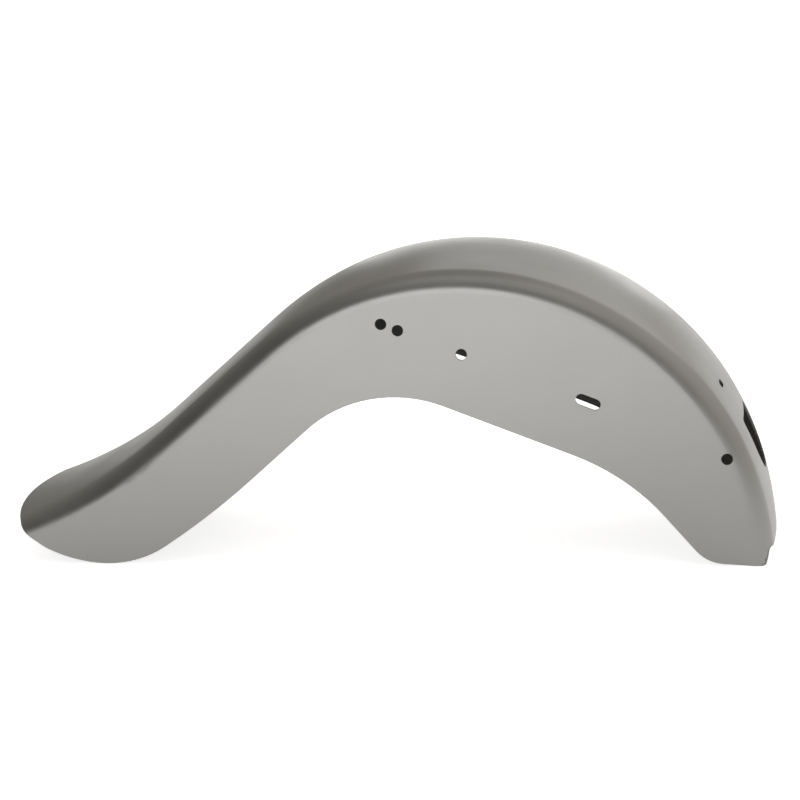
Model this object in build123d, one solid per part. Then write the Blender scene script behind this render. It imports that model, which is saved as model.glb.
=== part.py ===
from build123d import *
from build123d.topology import SkipClean
import math
import os

os.makedirs("parts", exist_ok=True)

# Motorcycle rear fender: one pressed steel sheet, front end at -X, tail at +X, width along Y.
# All lengths are in millimetres and all angles in degrees.

# Sheet and cross-section
sheet_thickness = 2.5
overall_width = 220.0
bend_radius = 24.0
crown_rise = 5.0

# Side view of the crown: tail arch, straight ramp and front swoop
arch_radius = 356.0
arch_centre_height = -9.3
ramp_angle = 40.2
ramp_length = 164.0
swoop_radius = 565.0

# Front edge of the crown, bowed forward as seen from above
front_reach = 544.0
front_bow = 23.0

# Lower edge of the side panels, followed from the front end to the tail
front_corner_inset = 9.0
front_corner_angle = -64.4
front_corner_radius = 44.0
front_edge_angle = -36.6
front_edge_run = 16.5
knuckle_radius = 50.0
knuckle_angle = -26.9
bulge_front_radius = 164.0
bulge_low_angle = -5.0
bulge_rear_radius = 130.0
bulge_rear_angle = 32.9
rise_radius = 1000.0
rise_angle = 40.8
rise_run = 89.2
apex_radius = 153.0
strut_angle = -22.0
strut_edge_run = 155.0
tail_edge_radius = 255.0
tail_edge_angle = -50.0
tail_edge_run = 52.5
foot_radius = 43.0
foot_angle = -3.8

# Holes in both side panels, placed along the strut line
strut_hole_x = 8.5
strut_hole_height = 248.4
bolt_hole_diameter = 13.0
front_pair_distance = 75.6
front_pair_spacing = 20.0
slot_distance = 149.5
slot_length = 29.0
rear_hole_distance = 314.6
rear_hole_drop = 5.6

# Tail: opening and wire slot in the crown, notch between the two ears
opening_width = 89.0
opening_length = 70.0
opening_angle = 21.1
opening_top_radius = 6.0
opening_foot_radius = 38.0
wire_slot_offset = 35.5
wire_slot_length = 18.0
wire_slot_width = 8.0
wire_slot_angle = 34.5
notch_height = 19.5
ear_foot_inset = 4.0
ear_top_inset = 9.0
notch_corner_radius = 5.0
ear_corner_radius = 4.0

# Cross-section: two flat panels, two bends and a slightly arched crown
half_width = overall_width / 2
bend_centre = half_width - bend_radius
crown_height = bend_radius + crown_rise
crown_radius = (bend_centre**2 + crown_height**2 - bend_radius**2) / (2 * crown_rise)
crown_centre = crown_height - crown_radius
bend_sweep = math.degrees(math.atan2(-crown_centre, bend_centre))
bend_line_radius = arch_radius - crown_height
panel_depth = 0.6 * bend_line_radius


def cap_outline(inset):
    side = half_width - inset
    bend = bend_radius - inset
    base = Line((side, 0), (-side, 0))
    left_bend = CenterArc((-bend_centre, 0), bend, 180, -bend_sweep)
    crown = CenterArc((0, crown_centre), crown_radius - inset, 180 - bend_sweep, 2 * bend_sweep - 180)
    right_bend = CenterArc((bend_centre, 0), bend, 0, bend_sweep)
    return make_face([base, left_bend, crown, right_bend])


cap_section = cap_outline(0) - cap_outline(sheet_thickness)
wall = Pos(half_width - sheet_thickness / 2, -panel_depth / 2) * Rectangle(sheet_thickness, panel_depth)
panel_section = wall + mirror(wall, about=Plane.YZ)


# Side view: a point and a direction at a given angle above the horizontal
def direction(angle):
    return Vector(math.cos(math.radians(angle)), 0, math.sin(math.radians(angle)))


def upright(angle):
    return direction(angle + 90)


# The path follows the bend line, where the flat panel ends and the bend begins
arch_centre = Vector(0, 0, arch_centre_height)
ramp_top = arch_centre + upright(ramp_angle) * bend_line_radius
ramp_foot = ramp_top - direction(ramp_angle) * ramp_length
swoop_centre = ramp_foot + upright(ramp_angle) * swoop_radius
front_angle = math.degrees(math.asin((-front_reach - swoop_centre.X) / swoop_radius))


def place(section, point, angle):
    return Plane(point, x_dir=(0, 1, 0), z_dir=direction(angle)) * section


def turned(section, centre, radius, angle, sweep):
    start = centre + upright(angle) * radius
    return revolve(place(section, start, angle), Axis(centre, (0, 1, 0)), revolution_arc=sweep)


def straight(section):
    return extrude(place(section, ramp_foot, ramp_angle), amount=ramp_length, dir=direction(ramp_angle))


# Arch, ramp and swoop run a little past both ends and are trimmed to the outlines
# The arch's crown and bends are turned in short steps, whose seams are kept so that the faces stay small
SkipClean.clean = False
spare_angle = 4.0
arch_sweep = 90 + ramp_angle + spare_angle
arch_steps = 5
step = arch_sweep / arch_steps
swoop_sweep = ramp_angle - front_angle + spare_angle
channel = straight(panel_section)
channel += turned(panel_section, arch_centre, bend_line_radius, ramp_angle, arch_sweep)
channel += turned(panel_section, swoop_centre, -swoop_radius, ramp_angle, swoop_sweep)
channel += straight(cap_section)
channel += turned(cap_section, swoop_centre, -swoop_radius, ramp_angle, swoop_sweep)
for number in range(arch_steps):
    channel += turned(cap_section, arch_centre, bend_line_radius, ramp_angle - number * step, step)


# Side outline, drawn in the XZ plane as tangent runs and turns
def run(last, length):
    return PolarLine(last @ 1, length, direction=last % 1)


def turn(last, radius, angle):
    return JernArc(last @ 1, last % 1, radius, angle)


# The outline starts in the bend at the front, where the bowed front edge of the crown takes over
bow_radius = (half_width**2 + front_bow**2) / (2 * front_bow)
bow_centre = bow_radius - front_reach
corner_x = bow_centre - math.sqrt(bow_radius**2 - (half_width - front_corner_inset) ** 2)
corner_rise = math.sqrt(bend_radius**2 - (bend_radius - front_corner_inset) ** 2)
corner_drop = math.sqrt((swoop_radius - corner_rise) ** 2 - (corner_x - swoop_centre.X) ** 2)
corner_z = swoop_centre.Z - corner_drop
corner_way = direction(front_corner_angle)
above = 2 * arch_radius
ahead = -2 * front_reach
front_lip = Line((ahead, corner_z), (corner_x, corner_z))
front_corner = JernArc(
    (corner_x, corner_z),
    (corner_way.X, corner_way.Z),
    front_corner_radius,
    front_edge_angle - front_corner_angle,
)
front_edge = run(front_corner, front_edge_run)
knuckle = turn(front_edge, knuckle_radius, knuckle_angle - front_edge_angle)
bulge_front = turn(knuckle, bulge_front_radius, bulge_low_angle - knuckle_angle)
bulge_rear = turn(bulge_front, bulge_rear_radius, bulge_rear_angle - bulge_low_angle)
rise_curve = turn(bulge_rear, rise_radius, rise_angle - bulge_rear_angle)
rise = run(rise_curve, rise_run)
apex = turn(rise, apex_radius, strut_angle - rise_angle)
strut_edge = run(apex, strut_edge_run)
tail_curve = turn(strut_edge, tail_edge_radius, tail_edge_angle - strut_angle)
tail_edge = run(tail_curve, tail_edge_run)
foot_curve = turn(tail_edge, foot_radius, foot_angle - tail_edge_angle)
foot_run = run(foot_curve, arch_radius / 2)
closing = Polyline(foot_run @ 1, (above, above), (ahead, above), (ahead, corner_z))
side_face = make_face(
    [
        front_lip,
        front_corner,
        front_edge,
        knuckle,
        bulge_front,
        bulge_rear,
        rise_curve,
        rise,
        apex,
        strut_edge,
        tail_curve,
        tail_edge,
        foot_curve,
        foot_run,
        closing,
    ]
)
side_block = extrude(Plane.XZ * side_face, amount=overall_width, both=True)

# Seen from above, the front edge is an arc and the rest is left as it is
bow = CenterArc((bow_centre, 0), bow_radius, 90, 180)
plan_rest = Polyline(bow @ 1, (above, -bow_radius), (above, bow_radius), bow @ 0)
plan_block = extrude(make_face([bow, plan_rest]), amount=above, both=True)
fender = channel & side_block & plan_block

# Strut line: two holes in front, one hole, one slot and one hole near the tail
strut_hole = Vector(strut_hole_x, 0, strut_hole_height)
along_strut = direction(strut_angle)
down_from_strut = direction(strut_angle - 90)
bolt_holes = [
    strut_hole - along_strut * (front_pair_distance + front_pair_spacing),
    strut_hole - along_strut * front_pair_distance,
    strut_hole,
    strut_hole + along_strut * rear_hole_distance + down_from_strut * rear_hole_drop,
]
slot_point = strut_hole + along_strut * slot_distance
across = Plane.XZ
hole_sketch = [Pos(p.X, p.Z) * Circle(bolt_hole_diameter / 2) for p in bolt_holes]
slot_shape = SlotOverall(slot_length, bolt_hole_diameter)
slot_sketch = Pos(slot_point.X, slot_point.Z) * Rot(0, 0, strut_angle) * slot_shape
fender -= extrude(across * Sketch(children=hole_sketch + [slot_sketch]), amount=overall_width, both=True)


# Openings in the crown are cut straight through it, towards the arch centre
def crown_plane(angle):
    return Plane(arch_centre, x_dir=(0, 1, 0), z_dir=direction(angle))


opening = Rectangle(opening_width, opening_length)
opening = fillet(opening.vertices().group_by(Axis.Y)[-1], opening_top_radius)
opening = fillet(opening.vertices().group_by(Axis.Y)[0], opening_foot_radius)
fender -= extrude(crown_plane(opening_angle) * opening, amount=2 * arch_radius)
wire_slot = Pos(-wire_slot_offset, 0) * SlotOverall(wire_slot_length, wire_slot_width)
fender -= extrude(crown_plane(wire_slot_angle) * wire_slot, amount=2 * arch_radius)

# Notch in the lower end of the crown, which leaves a rounded ear on each panel
foot_line = foot_curve @ 1
notch_foot = half_width - ear_foot_inset
notch_top = half_width - ear_top_inset
ear_rise = math.sqrt(bend_radius**2 - (notch_foot - bend_centre) ** 2)
ear_x = bend_line_radius + ear_rise
foot_height = foot_line.Y + (ear_x - foot_line.X) * math.tan(math.radians(foot_angle))
notch = Polygon(
    (-overall_width, -arch_radius),
    (-overall_width, foot_height),
    (-notch_foot, foot_height),
    (-notch_top, notch_height),
    (notch_top, notch_height),
    (notch_foot, foot_height),
    (overall_width, foot_height),
    (overall_width, -arch_radius),
    align=None,
)
notch_corners = notch.vertices().filter_by(lambda v: abs(v.Y - notch_height) < 0.01)
notch = fillet(notch_corners, notch_corner_radius)
ear_corners = notch.vertices().filter_by(
    lambda v: abs(v.Y - foot_height) < 0.01 and abs(v.X) < half_width
)
notch = fillet(ear_corners, ear_corner_radius)
tail_plane = Plane((arch_radius * 0.8, 0, 0), x_dir=(0, 1, 0), z_dir=(1, 0, 0))
fender -= extrude(tail_plane * notch, amount=arch_radius, dir=(1, 0, 0))

# Stand the fender on the floor with its box centred on the origin
box = fender.bounding_box()
shift_x = -(box.min.X + box.max.X) / 2
fender = Pos(shift_x, 0, -box.min.Z) * fender

solid = fender.solid()
solid.label = "fender_shell"
print("solids", len(fender.solids()), "volume", round(solid.volume), "box", solid.bounding_box())
print("shift", round(shift_x, 3), round(-box.min.Z, 3))
export_step(solid, "parts/fender_shell.step")
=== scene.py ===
import math
import bpy
from mathutils import Matrix, Vector
from mathutils.bvhtree import BVHTree

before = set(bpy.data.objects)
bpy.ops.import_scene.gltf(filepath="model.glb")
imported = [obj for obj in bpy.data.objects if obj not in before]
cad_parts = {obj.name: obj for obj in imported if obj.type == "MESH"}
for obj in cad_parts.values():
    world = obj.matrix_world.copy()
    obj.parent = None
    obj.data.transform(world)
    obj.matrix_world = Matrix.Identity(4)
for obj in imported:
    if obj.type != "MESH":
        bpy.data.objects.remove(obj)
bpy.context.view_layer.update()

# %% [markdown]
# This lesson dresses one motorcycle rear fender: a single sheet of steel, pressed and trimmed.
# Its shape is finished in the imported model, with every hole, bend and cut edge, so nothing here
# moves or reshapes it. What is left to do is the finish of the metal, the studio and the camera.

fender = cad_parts["fender_shell"]

# %% [markdown]
# Colours are easiest to choose as the hex codes of a paint program, which are sRGB.
# Shaders work with linear light, so one small function turns a code into linear numbers.
# A second small function adds a shader node, sets it up and links its inputs, and a third starts an
# empty material, so that each finish further down reads like a list of what it is made of.


# %% Helpers for colours, nodes and materials
def linear(code):
    channels = [int(code[place:place + 2], 16) / 255 for place in (1, 3, 5)]
    curve = [c / 12.92 if c <= 0.04045 else ((c + 0.055) / 1.055) ** 2.4 for c in channels]
    return (*curve, 1.0)


def add_node(tree, kind, settings=None, inputs=None):
    node = tree.nodes.new(kind)
    for name, value in (settings or {}).items():
        setattr(node, name, value)
    for name, value in (inputs or {}).items():
        if isinstance(value, bpy.types.NodeSocket):
            tree.links.new(value, node.inputs[name])
        else:
            node.inputs[name].default_value = value
    return node


def new_material(name):
    material = bpy.data.materials.new(name)
    material.use_nodes = True
    material.node_tree.nodes.clear()
    return material, material.node_tree


print("mid grey in linear light", [round(value, 3) for value in linear("#808080")])

# %% [markdown]
# The outside is bare cold rolled steel with a satin finish. A metal has no diffuse colour: what we
# see is the room, tinted by the base colour and blurred by the roughness. One even grey would look
# like plastic, so three quiet layers of noise break it up: cloudy patches, where hands and oil have
# dulled it, a fine grain left by the rolls, and a slight unevenness of the pressed surface.
# Noise on Object coordinates needs no picture and no unwrapping, and its sizes are real ones.
# The real grain is about 0.2 mm wide, too fine for this picture, so it is drawn 2 mm wide and faint.

# %% Three layers of noise for the satin steel
millimetre = 0.001
cloud_width = 60 * millimetre
grain_width = 2 * millimetre
swell_width = 150 * millimetre
satin_steel, tree = new_material("satin_cold_rolled_steel")
place = add_node(tree, "ShaderNodeTexCoord").outputs["Object"]
clouds = add_node(
    tree,
    "ShaderNodeTexNoise",
    inputs={"Vector": place, "Scale": 1 / cloud_width, "Detail": 4.0, "Roughness": 0.55},
)
grain = add_node(
    tree,
    "ShaderNodeTexNoise",
    inputs={"Vector": place, "Scale": 1 / grain_width, "Detail": 2.0, "Roughness": 0.5},
)
swell = add_node(
    tree,
    "ShaderNodeTexNoise",
    inputs={"Vector": place, "Scale": 1 / swell_width, "Detail": 1.0, "Roughness": 0.4},
)
print("noise layers in", satin_steel.name, [layer.name for layer in (clouds, grain, swell)])

# %% [markdown]
# The clouds set both the tone and the roughness, because a dulled spot also changes its tone a little.
# The swell and the grain only tilt the surface: two Bump nodes in a row make reflections swim a
# little, as they do on a pressed sheet. The holes and edges are real geometry and need no bump.

# %% Satin steel of the outside
tone = add_node(
    tree,
    "ShaderNodeMix",
    {"data_type": "RGBA"},
    {"Factor": clouds.outputs["Fac"], "A": linear("#919190"), "B": linear("#989796")},
)
shine = add_node(
    tree,
    "ShaderNodeMapRange",
    inputs={
        "Value": clouds.outputs["Fac"],
        "From Min": 0.3,
        "From Max": 0.7,
        "To Min": 0.31,
        "To Max": 0.37,
    },
)
waves = add_node(
    tree,
    "ShaderNodeBump",
    inputs={"Height": swell.outputs["Fac"], "Strength": 0.10, "Distance": 1.5 * millimetre},
)
rolled = add_node(
    tree,
    "ShaderNodeBump",
    inputs={
        "Height": grain.outputs["Fac"],
        "Strength": 0.05,
        "Distance": 0.2 * millimetre,
        "Normal": waves.outputs["Normal"],
    },
)
metal = add_node(
    tree,
    "ShaderNodeBsdfPrincipled",
    inputs={
        "Base Color": tone.outputs["Result"],
        "Metallic": 1.0,
        "Roughness": shine.outputs["Result"],
        "Normal": rolled.outputs["Normal"],
    },
)
add_node(tree, "ShaderNodeOutputMaterial", inputs={"Surface": metal.outputs["BSDF"]})
print("material", satin_steel.name)

# %% [markdown]
# The inside is coloured almost black as painted shade: little light falls inside the fender, and the
# dark colour paints that shade on, so through the bolt holes the fender looks like a cave. It is matt,
# so the shader is a rough dielectric with a speckle of lighter spots.

# %% Painted shade of the inside
speckle_width = 12 * millimetre
inside_shade_material, tree = new_material("painted_shade_inside")
place = add_node(tree, "ShaderNodeTexCoord").outputs["Object"]
speckle = add_node(
    tree,
    "ShaderNodeTexNoise",
    inputs={"Vector": place, "Scale": 1 / speckle_width, "Detail": 5.0, "Roughness": 0.6},
)
# near-black colours that paint the shade inside the fender
inside_shade_tone = add_node(
    tree,
    "ShaderNodeMix",
    {"data_type": "RGBA"},
    {"Factor": speckle.outputs["Fac"], "A": linear("#363635"), "B": linear("#4E4E4C")},
)
dullness = add_node(
    tree,
    "ShaderNodeMapRange",
    inputs={"Value": speckle.outputs["Fac"], "To Min": 0.62, "To Max": 0.78},
)
pits = add_node(
    tree,
    "ShaderNodeBump",
    inputs={"Height": speckle.outputs["Fac"], "Strength": 0.15, "Distance": 0.3 * millimetre},
)
inside_shade_surface = add_node(
    tree,
    "ShaderNodeBsdfPrincipled",
    inputs={
        "Base Color": inside_shade_tone.outputs["Result"],
        "Roughness": dullness.outputs["Result"],
        "Normal": pits.outputs["Normal"],
    },
)
add_node(tree, "ShaderNodeOutputMaterial", inputs={"Surface": inside_shade_surface.outputs["BSDF"]})
print("material", inside_shade_material.name)

# %% [markdown]
# Shears and punches leave a duller, slightly darker metal on the cut edges, with fine scratches that run
# across the sheet on the side panels. They could be drawn one by one, but a noise that a Mapping node
# stretches along the fender's width gives them all at once.
# The real scratches are about 0.2 mm wide, too fine for this picture, so they are drawn 1.2 mm wide.

# %% Sheared steel of the cut edges
scratch_width = 1.2 * millimetre
cut_steel, tree = new_material("sheared_steel_edge")
place = add_node(tree, "ShaderNodeTexCoord").outputs["Object"]
stretch = add_node(tree, "ShaderNodeMapping", inputs={"Vector": place, "Scale": (1.0, 0.15, 1.0)})
scratches = add_node(
    tree,
    "ShaderNodeTexNoise",
    inputs={
        "Vector": stretch.outputs["Vector"],
        "Scale": 1 / scratch_width,
        "Detail": 3.0,
        "Roughness": 0.6,
    },
)
edge_tone = add_node(
    tree,
    "ShaderNodeMix",
    {"data_type": "RGBA"},
    {"Factor": scratches.outputs["Fac"], "A": linear("#6E6D6B"), "B": linear("#8C8B89")},
)
edge_bump = add_node(
    tree,
    "ShaderNodeBump",
    inputs={"Height": scratches.outputs["Fac"], "Strength": 0.25, "Distance": 0.2 * millimetre},
)
edge_metal = add_node(
    tree,
    "ShaderNodeBsdfPrincipled",
    inputs={
        "Base Color": edge_tone.outputs["Result"],
        "Metallic": 1.0,
        "Roughness": 0.48,
        "Normal": edge_bump.outputs["Normal"],
    },
)
add_node(tree, "ShaderNodeOutputMaterial", inputs={"Surface": edge_metal.outputs["BSDF"]})
print("material", cut_steel.name)

# %% [markdown]
# A pressed sheet has three kinds of surface. The outside is the show side, satin and even. The inside
# gets a dark, dull colour, a painted shade for the weak light inside the fender. The cut edges, around
# the outline and in every hole, are bare sheared metal.
# Material slots do it without touching the shape: each face only remembers the number of its slot.
# The slots come first, because emptying the list sets every face back to slot 0.

# %% Give the fender its three slots
steel_mesh = fender.data
steel_mesh.materials.clear()
finishes = {"outside": satin_steel, "inside": inside_shade_material, "cut": cut_steel}
for finish in finishes.values():
    steel_mesh.materials.append(finish)
slot_of = {kind: slot for slot, kind in enumerate(finishes)}
print("slots", slot_of)

# %% [markdown]
# To sort the faces we look straight into the metal from each one. On the inside and the outside the way
# through is one sheet thickness and ends at a face that looks the other way. On a cut edge it runs
# along the sheet. What is left is outside if it looks away from the middle, upwards or to the tail.

# %% Sort the faces into outside, inside and cut edge
sheet = 2.5 * millimetre
thickest = 1.25 * sheet
just_inside = 0.05 * millimetre
reach = 20 * millimetre
facing = -0.9
up_and_back = Vector((0.5, 0.0, 0.866))
points = [vertex.co for vertex in steel_mesh.vertices]
shell = BVHTree.FromPolygons(points, [tuple(face.vertices) for face in steel_mesh.polygons])
face_count = dict.fromkeys(slot_of, 0)
for face in steel_mesh.polygons:
    start = face.center - face.normal * just_inside
    _, far_normal, _, thickness = shell.ray_cast(start, -face.normal, reach)
    side = 1 if face.center.y > 0 else -1
    outward = face.normal.dot(up_and_back) + face.normal.y * side
    if thickness is None or thickness > thickest or far_normal.dot(face.normal) > facing:
        kind = "cut"
    else:
        kind = "outside" if outward > 0 else "inside"
    face.material_index = slot_of[kind]
    face_count[kind] += 1
print("faces", face_count)

# %% [markdown]
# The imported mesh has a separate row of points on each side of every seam, so a reflection would jump a
# little where the crown meets the bends and where one step of the arch meets the next. The real sheet
# has no seams. Smoothing the mesh would move its points, so a Weld modifier does it for the
# shading alone: it joins rows that already lie in the same place. The cut edges are not in its group
# of points, so they stay crisp.

# %% Let the light run smoothly over the seams
side_points = set()
for face in steel_mesh.polygons:
    if face.material_index != slot_of["cut"]:
        side_points.update(face.vertices)
sheet_sides = fender.vertex_groups.new(name="sheet_sides")
sheet_sides.add(sorted(side_points), 1.0, "REPLACE")
weld = fender.modifiers.new("join_seams", "WELD")
weld.vertex_group = sheet_sides.name
weld.merge_threshold = 0.002 * millimetre
print("points on the two sides of the sheet", len(side_points))

# %% [markdown]
# The fender stands on a seamless sheet of white paper. The paper is plain diffuse white, so it keeps the
# fender's shadow. In the picture it also has to read as pure white. More light would wash out the
# steel, so a little glow is added for rays that come straight from the camera. Rays mirrored by
# the steel, or passing through glass if there were any, get a smaller share of it, so that they meet
# white paper too.

# %% White paper floor
floor_size = 60.0
camera_glow = 0.8
mirror_glow = 0.55
bpy.ops.object.select_all(action="DESELECT")
bpy.ops.mesh.primitive_plane_add(size=floor_size, location=(0, 0, 0))
floor = bpy.context.object
floor.name = "studio_floor"
paper, tree = new_material("white_seamless_paper")
rays = add_node(tree, "ShaderNodeLightPath")
mirrored = add_node(
    tree,
    "ShaderNodeMath",
    {"operation": "MAXIMUM"},
    {0: rays.outputs["Is Glossy Ray"], 1: rays.outputs["Is Transmission Ray"]},
)
share = add_node(
    tree,
    "ShaderNodeMath",
    {"operation": "MULTIPLY"},
    {0: mirrored.outputs["Value"], 1: mirror_glow},
)
glow = add_node(
    tree,
    "ShaderNodeMath",
    {"operation": "MULTIPLY_ADD"},
    {0: rays.outputs["Is Camera Ray"], 1: camera_glow, 2: share.outputs["Value"]},
)
sheet_white = add_node(tree, "ShaderNodeBsdfDiffuse", inputs={"Color": linear("#EDEDED")})
lift = add_node(tree, "ShaderNodeEmission", inputs={"Strength": glow.outputs["Value"]})
both = add_node(
    tree,
    "ShaderNodeAddShader",
    inputs={0: sheet_white.outputs["BSDF"], 1: lift.outputs["Emission"]},
)
add_node(tree, "ShaderNodeOutputMaterial", inputs={"Surface": both.outputs["Shader"]})
floor.data.materials.append(paper)
print("floor", floor.name, "of", paper.name)

# %% [markdown]
# Satin steel looks only as good as the room around it. The room here is a soft gradient and not a
# picture: dim in front and at the front end, lighter overhead, behind and at the tail side. The
# direction of each ray is cut off at zero on every axis and weighed, which gives three smooth pools of
# light.

# %% The room
pool_strength = (0.68, 0.28, 0.46)  # at the tail side, behind and overhead
room = bpy.data.worlds.new("studio_room")
bpy.context.scene.world = room
room.use_nodes = True
tree = room.node_tree
tree.nodes.clear()
way = add_node(tree, "ShaderNodeTexCoord").outputs["Generated"]
pools = add_node(tree, "ShaderNodeVectorMath", {"operation": "MAXIMUM"}, {0: way, 1: (0.0, 0.0, 0.0)})
level = add_node(
    tree,
    "ShaderNodeVectorMath",
    {"operation": "DOT_PRODUCT"},
    {0: pools.outputs["Vector"], 1: pool_strength},
)
air = add_node(
    tree,
    "ShaderNodeBackground",
    inputs={"Color": linear("#FFFAF1"), "Strength": level.outputs["Value"]},
)
add_node(tree, "ShaderNodeOutputWorld", inputs={"Surface": air.outputs["Background"]})
print("room", room.name)

# %% [markdown]
# Five soft boxes and one floor lamp do the rest. The low box behind the camera fills the side panel.
# Two low strips behind the fender draw the bright line under the top of the crown, stronger in the
# middle than at the tail. The box above them softens the way into that line, and a weak box overhead
# keeps the bend from going black.
# A soft box is given by the brightness of its face, so that its size can change without its look.


# %% Soft boxes
def soft_box(name, place, aim, width, height, brightness):
    bpy.ops.object.light_add(type="AREA", location=place)
    box = bpy.context.object
    box.name = name
    box.data.shape = "RECTANGLE"
    box.data.size = width
    box.data.size_y = height
    box.data.energy = math.pi * width * height * brightness
    box.rotation_euler = (Vector(place) - Vector(aim)).to_track_quat("Z", "Y").to_euler()
    box.visible_camera = False
    print(name, "watts", round(box.data.energy, 1))


soft_box("front_box", (-0.4, -3.2, 0.75), (0, 0, 0.25), 2.0, 1.0, 2.6)
soft_box("back_strip", (0.0, 3.0, 0.35), (0.0, 0, 0.25), 1.6, 0.5, 2.0)
soft_box("tail_strip", (1.5, 2.8, 0.35), (0.2, 0, 0.25), 1.3, 0.5, 0.5)
soft_box("back_box", (0.8, 2.55, 1.7), (0, 0, 0.2), 3.0, 1.4, 0.46)
soft_box("top_box", (0.2, -1.3, 3.0), (0, 0, 0.2), 3.2, 2.8, 0.2)

# %% [markdown]
# The flat panel stands upright, so from this raised camera it mirrors the paper in front of it.
# Another soft box would brighten all of the panel. A spot that shines straight down on that paper gives
# it a gradient instead: brightest at its top, and fading towards both ends.

# %% Floor lamp
bpy.ops.object.light_add(type="SPOT", location=(-0.2, -1.5, 3.0))
floor_lamp = bpy.context.object
floor_lamp.name = "front_floor_lamp"
floor_lamp.data.spot_size = math.radians(50)
floor_lamp.data.spot_blend = 1.0
floor_lamp.data.shadow_soft_size = 0.3
floor_lamp.data.energy = 340
print(floor_lamp.name, "watts", floor_lamp.data.energy)

# %% [markdown]
# The camera stands in front of the left panel, a little towards the tail and above the fender, and
# leans three degrees, as it does in the photo. Its place was worked out from the outline of the fender
# there. The long lens keeps the far side nearly as large as the near one.

# %% Camera
camera_place = Vector((0.3802, -2.2382, 0.8000))
camera_azimuth = 9.297
camera_elevation = 15.62
camera_roll = -3.05
bpy.ops.object.camera_add(location=camera_place)
camera = bpy.context.object
camera.name = "photo_camera"
camera.data.lens = 90.0
camera.data.sensor_width = 36.0
turn = Matrix.Rotation(math.radians(camera_azimuth), 3, "Z")
tip = Matrix.Rotation(math.radians(90 - camera_elevation), 3, "X")
roll = Matrix.Rotation(math.radians(camera_roll), 3, "Z")
camera.rotation_euler = (turn @ tip @ roll).to_euler()
bpy.context.scene.camera = camera
bpy.context.scene.view_settings.view_transform = "Standard"
print("camera", [round(value, 3) for value in camera.location])
